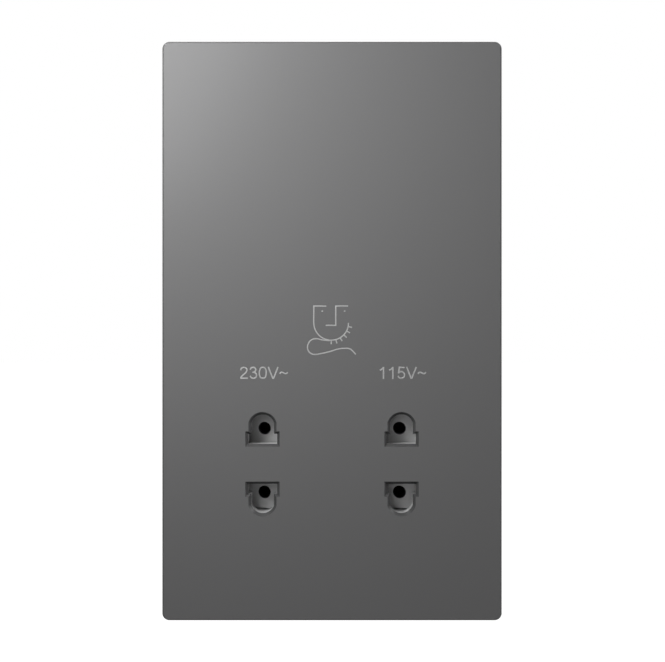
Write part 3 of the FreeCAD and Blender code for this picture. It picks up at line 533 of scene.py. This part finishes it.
def voltage_mark(name, text, centre_x, span, printing, finish):
    """One printed line of characters, brought to its width, its capital height and its base line."""
    pen = InkPen(name, printing.letter_stroke, printing.capital / CAPITAL_UNITS)
    for character in text:
        advance, strokes = CHARACTERS[character]
        for kind, points in strokes:
            getattr(pen, kind)(points)
        pen.start += advance
    mesh = pen.mesh()
    low, high = mesh_span(mesh, 0)
    foot, top = mesh_span(mesh, 2)
    mesh.transform(Matrix.Translation((-(low + high) / 2, 0.0, -foot)))
    mesh.transform(Matrix.Diagonal((span / (high - low), 2 * printing.film / printing.letter_stroke,
                                    printing.capital / (top - foot), 1.0)))
    mesh.transform(Matrix.Translation((centre_x, PLATE_FACE, printing.base_z)))
    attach(add_piece(name, mesh, finish), FIXED)


def round_point(x, z, r, degrees):
    """A point on a circle, by its angle from the right."""
    angle = math.radians(degrees)
    return (x + r * math.cos(angle), z + r * math.sin(angle))


def draw_symbol(pen):
    """The usual sign of a shaver outlet, in millimetres: a face, its beard and the shaver's cord."""
    half_stroke = 0.16
    jaw_x, jaw_z, jaw_r, jaw_parts = -0.22, 2.05, 4.39, 12
    brow_z, left_brow_end, right_brow_end = 6.3, -1.45, 4.05
    nose_x, nose_z, nose_end = 0.94, 1.42, -1.6
    hair_count, first_hair, hair_pitch, hair_length = 6, -12.5, -15.5, 1.0
    eye_places, eye_z, half_eye = (-2.48, 3.18), 5.02, 0.2
    left = jaw_x - jaw_r
    pen.line([(left, brow_z), (left, jaw_z)])
    jaw_angles = [180 + 180 * part / jaw_parts for part in range(jaw_parts + 1)]
    pen.curve([round_point(jaw_x, jaw_z, jaw_r, angle) for angle in jaw_angles])
    pen.line([(left - half_stroke, brow_z), (left_brow_end, brow_z)])
    pen.line([(right_brow_end, brow_z), (nose_x - half_stroke, brow_z)])
    pen.line([(nose_x, brow_z), (nose_x, nose_z)])
    pen.line([(nose_x + half_stroke, nose_z), (nose_end, nose_z)])
    for hair in range(hair_count):
        angle = first_hair + hair_pitch * hair
        pen.line([round_point(jaw_x, jaw_z, r, angle) for r in (jaw_r, jaw_r + hair_length)])
    for x in eye_places:
        pen.line([(x - half_eye, eye_z), (x + half_eye, eye_z)])
    cord = [(-0.62, -2.46), (-1.7, -2.38), (-2.72, -2.22), (-3.84, -1.97), (-5.11, -2.2), (-5.94, -3.08),
            (-6.19, -4.04), (-5.94, -5.12), (-5.11, -5.79), (-4.14, -5.93), (-2.67, -5.7), (-0.57, -5.24),
            (1.51, -4.6), (3.21, -4.4), (4.48, -4.55), (5.31, -5.19), (5.97, -5.92)]
    pen.curve(cord)


def spring_mesh(centre, coil_radius, start, end, options):
    """Round wire wound along X, with closed ends."""
    bm = bmesh.new()
    ring = bmesh.ops.create_circle(bm, cap_ends=False, segments=WIRE_SIDES, radius=options.wire / 2)
    bmesh.ops.translate(bm, vec=(start, centre.y + coil_radius, centre.z), verts=ring["verts"])
    total = options.turns * options.steps
    bmesh.ops.spin(bm, geom=bm.verts[:] + bm.edges[:], cent=(start, centre.y, centre.z), axis=(1.0, 0.0, 0.0),
                   dvec=((end - start) / total, 0.0, 0.0), angle=2 * math.pi * options.turns, steps=total,
                   use_merge=False, use_duplicate=False)
    bmesh.ops.holes_fill(bm, edges=[e for e in bm.edges if e.is_boundary], sides=0)
    bmesh.ops.recalc_face_normals(bm, faces=bm.faces[:])
    for face in bm.faces:
        face.smooth = True
    mesh = bpy.data.meshes.new("spring")
    bm.to_mesh(mesh)
    bm.free()
    return mesh


# Operators, one for each group of pieces
class LooksOperator:
    """What the steps share: each one makes its pieces from the sizes and colours kept with the scene."""
    bl_options = {"REGISTER", "UNDO"}

    def execute(self, context):
        self.make(context.scene.shaver_socket)
        return {"FINISHED"}


class SHAVERSOCKET_OT_finish_plate(LooksOperator, bpy.types.Operator):
    """Gives the front plate its anthracite metal"""
    bl_idname = "shaver_socket.finish_plate"
    bl_label = "Finish plate"

    def make(self, looks):
        dress("front_plate", plate_metal(looks.finishes))


class SHAVERSOCKET_OT_finish_mouldings(LooksOperator, bpy.types.Operator):
    """Gives the plastic mouldings their colours and textures"""
    bl_idname = "shaver_socket.finish_mouldings"
    bl_label = "Finish mouldings"

    def make(self, looks):
        finishes = looks.finishes
        dress("front_housing", moulding("frame_moulding", finishes.frame, 0.5))
        dress("outlet_insert", moulding("insert_moulding", finishes.insert, 0.42))
        dress("contact_carrier", moulding("carrier_moulding", finishes.carrier, 0.6))
        dress("rear_cover", moulding("cover_moulding", finishes.cover, 0.5, texture=700.0, depth=0.03 * MM))
        dress("terminal_block", moulding("nylon_moulding", finishes.block, 0.38, gloss=0.6))
        for side in SIDES:
            shutter = moulding(side + "_shutter_moulding", finishes.shutter, 0.42, texture=1500.0,
                               depth=0.01 * MM)
            # Paints near-black shade on the shutter's pin-hole walls, round each pin axis, where the holes
            # fall into shade
            shutter.tint(shutter.near_axes(pin_axes([side]), PILOT_PAINTED_SHADE_R), finishes.pin_hole_painted_shade)
            dress(side + "_shutter", shutter)


class SHAVERSOCKET_OT_finish_metalwork(LooksOperator, bpy.types.Operator):
    """Gives the contacts, terminals and screws their metals"""
    bl_idname = "shaver_socket.finish_metalwork"
    bl_label = "Finish metalwork"

    def make(self, looks):
        finishes = looks.finishes
        strip = rolled_metal("rolled_brass", finishes.brass, 0.3, STRIP_GRAIN)
        bar = rolled_metal("drawn_brass", finishes.brass, 0.34, BAR_GRAIN)
        zinc = rolled_metal("zinc_plating", finishes.zinc, 0.32, SCREW_GRAIN)
        clip = rolled_metal("brass_with_painted_shade", finishes.brass, 0.36, STRIP_GRAIN)
        # Paints near-black shade on the clip leaves round the pin axes, from the front to a set depth, so
        # that the pin holes look dark; the rest stays bright brass
        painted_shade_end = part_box("common_contact")[0].y + CLIP_PAINTED_SHADE_DEPTH
        leaves = clip.math("LESS_THAN", clip.coordinate("Y"), painted_shade_end)
        inside = clip.math("MULTIPLY", clip.near_axes(pin_axes(SIDES), CLIP_PAINTED_SHADE_R), leaves)
        clip.tint(inside, finishes.clip_painted_shade)
        for node in ("common_contact", "contact_230v", "contact_115v"):
            dress(node, clip)
        dress("earth_spring", strip)
        for node in ("live_terminal", "neutral_terminal", "earth_terminal"):
            dress(node, bar)
        for node in ("case_screws", "block_screws", "terminal_screws"):
            dress(node, zinc)


class SHAVERSOCKET_OT_finish_transformer(LooksOperator, bpy.types.Operator):
    """Gives the transformer its laminations, wire, tape and mouldings"""
    bl_idname = "shaver_socket.finish_transformer"
    bl_label = "Finish transformer"

    def make(self, looks):
        finishes = looks.finishes
        core = laminations(finishes.core, SHEET)
        for node in ("core_e_laminations", "core_i_laminations"):
            dress(node, core)
        dress("bobbin", moulding("bobbin_moulding", finishes.bobbin, 0.45))
        dress("primary_winding", wound_wire(finishes.copper, PRIMARY_WIRE))
        dress("secondary_winding", wound_wire(finishes.copper, SECONDARY_WIRE))
        dress("winding_tape", film_tape(finishes.tape))
        dress("thermal_cutout", moulding("cutout_case", finishes.cutout, 0.35))


class SHAVERSOCKET_OT_print_marks(LooksOperator, bpy.types.Operator):
    """Prints each outlet's voltage above its openings"""
    bl_idname = "shaver_socket.print_marks"
    bl_label = "Print voltages"

    def make(self, looks):
        printing = looks.printing
        ink = printed_ink(looks.finishes.ink)
        marks = (("left_voltage", printing.left_mark, printing.left_x, printing.left_span),
                 ("right_voltage", printing.right_mark, printing.right_x, printing.right_span))
        for name, text, centre_x, span in marks:
            voltage_mark(name, text, centre_x, span, printing, ink)


class SHAVERSOCKET_OT_print_symbol(LooksOperator, bpy.types.Operator):
    """Prints the usual sign of a shaver outlet"""
    bl_idname = "shaver_socket.print_symbol"
    bl_label = "Print symbol"

    def make(self, looks):
        printing = looks.printing
        pen = InkPen("shaver_symbol", printing.stroke, MM)
        draw_symbol(pen)
        mesh = pen.mesh()
        mesh.transform(Matrix.Diagonal((1.0, 2 * printing.film / printing.stroke, 1.0, 1.0)))
        mesh.transform(Matrix.Translation((0.0, PLATE_FACE, 0.0)))
        piece = add_piece("shaver_symbol", mesh, printed_ink(looks.finishes.ink))
        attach(piece, FIXED)


class SHAVERSOCKET_OT_wind_springs(LooksOperator, bpy.types.Operator):
    """Winds the shutters' return springs from round wire"""
    bl_idname = "shaver_socket.wind_springs"
    bl_label = "Wind springs"

    def make(self, looks):
        options = looks.springs
        steel = rolled_metal("spring_steel", looks.finishes.steel, 0.28, WIRE_GRAIN)
        for side in SIDES:
            low, high = SPRING_BOXES[side]
            centre = (low + high) / 2
            wire = options.wire
            coil_radius = (high.z - low.z - wire) / 2
            start, end = low.x + wire / 2, high.x - wire / 2
            mesh = spring_mesh(centre, coil_radius, start, end, options)
            piece = add_piece(side + "_spring_wire", mesh, steel)
            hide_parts(side + "_shutter_spring")
            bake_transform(piece)


def level_for(tree, seen, other):
    """One level for rays from the camera, a mirror or glass, and another level for all others."""
    links = tree.links
    path = tree.nodes.new("ShaderNodeLightPath")
    either = path.outputs["Is Camera Ray"]
    for name in ("Is Glossy Ray", "Is Transmission Ray"):
        larger = tree.nodes.new("ShaderNodeMath")
        larger.operation = "MAXIMUM"
        links.new(either, larger.inputs[0])
        links.new(path.outputs[name], larger.inputs[1])
        either = larger.outputs["Value"]
    mix = tree.nodes.new("ShaderNodeMix")
    mix.data_type = "FLOAT"
    mix.inputs["A"].default_value = other
    mix.inputs["B"].default_value = seen
    links.new(either, mix.inputs["Factor"])
    return mix.outputs["Result"]


def soft_lamp(name, place, size, power):
    """A square soft lamp that looks at the plate's centre."""
    data = bpy.data.lights.new(name, "AREA")
    data.shape = "SQUARE"
    data.size = size
    data.energy = power
    lamp = bpy.data.objects.new(name, data)
    lamp.location = place
    lamp.rotation_euler = (-Vector(place)).to_track_quat("-Z", "Y").to_euler()
    lamp.visible_camera = False
    bpy.context.scene.collection.objects.link(lamp)


class SHAVERSOCKET_OT_set_stage(LooksOperator, bpy.types.Operator):
    """Sets the floor, the lamps, the light of the room and the camera"""
    bl_idname = "shaver_socket.set_stage"
    bl_label = "Set stage"

    def make(self, looks):
        stage = looks.stage
        self.make_camera(stage)
        self.make_room(stage)
        self.make_floor(stage)
        soft_lamp("main_lamp", stage.key_place, stage.key_size, stage.key_power)
        soft_lamp("side_lamp", stage.side_place, stage.side_size, stage.side_power)
        soft_lamp("fill_lamp", stage.fill_place, stage.fill_size, stage.fill_power)
        for name, side in (("right_rear_lamp", 1), ("left_rear_lamp", -1)):
            x, y, z = stage.back_place
            soft_lamp(name, (side * x, y, z), stage.back_size, stage.back_power)

    def make_camera(self, stage):
        data = bpy.data.cameras.new("camera")
        data.lens = stage.lens
        data.clip_start = 10 * MM
        camera = bpy.data.objects.new("camera", data)
        camera.location = (stage.aim_x, PLATE_FACE - stage.reach, 0.0)
        camera.rotation_euler = (math.pi / 2, 0.0, 0.0)
        bpy.context.scene.collection.objects.link(camera)
        bpy.context.scene.camera = camera

    def make_room(self, stage):
        world = bpy.data.worlds.new("room")
        world.use_nodes = True
        tree = world.node_tree
        background = tree.nodes["Background"]
        background.inputs["Color"].default_value = (1.0, 1.0, 1.0, 1.0)
        tree.links.new(level_for(tree, 1.0, stage.room_level), background.inputs["Strength"])
        bpy.context.scene.world = world

    def make_floor(self, stage):
        bm = bmesh.new()
        bmesh.ops.create_grid(bm, x_segments=1, y_segments=1, size=FLOOR_HALF,
                              matrix=Matrix.Translation((0.0, 0.0, stage.floor_z)))
        mesh = bpy.data.meshes.new("floor")
        bm.to_mesh(mesh)
        bm.free()
        floor = bpy.data.objects.new("floor", mesh)
        bpy.context.scene.collection.objects.link(floor)
        finish = Finish("floor_paint", scaled(stage.floor_colour, FLOOR_SHARE), roughness=0.9)
        finish.shader.inputs["Emission Color"].default_value = (1.0, 1.0, 1.0, 1.0)
        glow = level_for(finish.tree, FLOOR_GLOW, 0.0)
        finish.link(glow, finish.shader.inputs["Emission Strength"])
        mesh.materials.append(finish.material)


class SHAVERSOCKET_PG_all(bpy.types.PropertyGroup):
    stage: PointerProperty(name="Stage", description="Camera, lamps and floor", type=SHAVERSOCKET_PG_stage)
    finishes: PointerProperty(name="Finishes", description="Colours of the pieces",
                              type=SHAVERSOCKET_PG_finishes)
    printing: PointerProperty(name="Print", description="Printed marks", type=SHAVERSOCKET_PG_print)
    springs: PointerProperty(name="Springs", description="Return springs", type=SHAVERSOCKET_PG_springs)


MAKERS = (SHAVERSOCKET_OT_set_stage, SHAVERSOCKET_OT_finish_plate, SHAVERSOCKET_OT_finish_mouldings,
          SHAVERSOCKET_OT_finish_metalwork, SHAVERSOCKET_OT_finish_transformer, SHAVERSOCKET_OT_print_marks,
          SHAVERSOCKET_OT_print_symbol, SHAVERSOCKET_OT_wind_springs)


class SHAVERSOCKET_PT_looks(bpy.types.Panel):
    """Steps that dress the socket"""
    bl_idname = "SHAVERSOCKET_PT_looks"
    bl_label = "Shaver socket"
    bl_space_type = "VIEW_3D"
    bl_region_type = "UI"
    bl_category = "Shaver socket"

    def draw(self, context):
        looks = context.scene.shaver_socket
        for maker in MAKERS:
            self.layout.operator(maker.bl_idname)
        for group in (looks.stage, looks.finishes, looks.printing, looks.springs):
            box = self.layout.box()
            for name in group.__annotations__:
                box.prop(group, name)


CLASSES = (SHAVERSOCKET_PG_stage, SHAVERSOCKET_PG_finishes, SHAVERSOCKET_PG_print, SHAVERSOCKET_PG_springs,
           SHAVERSOCKET_PG_all) + MAKERS + (SHAVERSOCKET_PT_looks,)


def register():
    for kind in CLASSES:
        bpy.utils.register_class(kind)
    bpy.types.Scene.shaver_socket = PointerProperty(type=SHAVERSOCKET_PG_all)


def unregister():
    del bpy.types.Scene.shaver_socket
    for kind in reversed(CLASSES):
        bpy.utils.unregister_class(kind)


def main():
    register()
    bpy.context.scene.view_settings.view_transform = "Standard"
    for maker in MAKERS:
        group, name = maker.bl_idname.split(".")
        getattr(getattr(bpy.ops, group), name)()


if __name__ == "__main__":
    main()
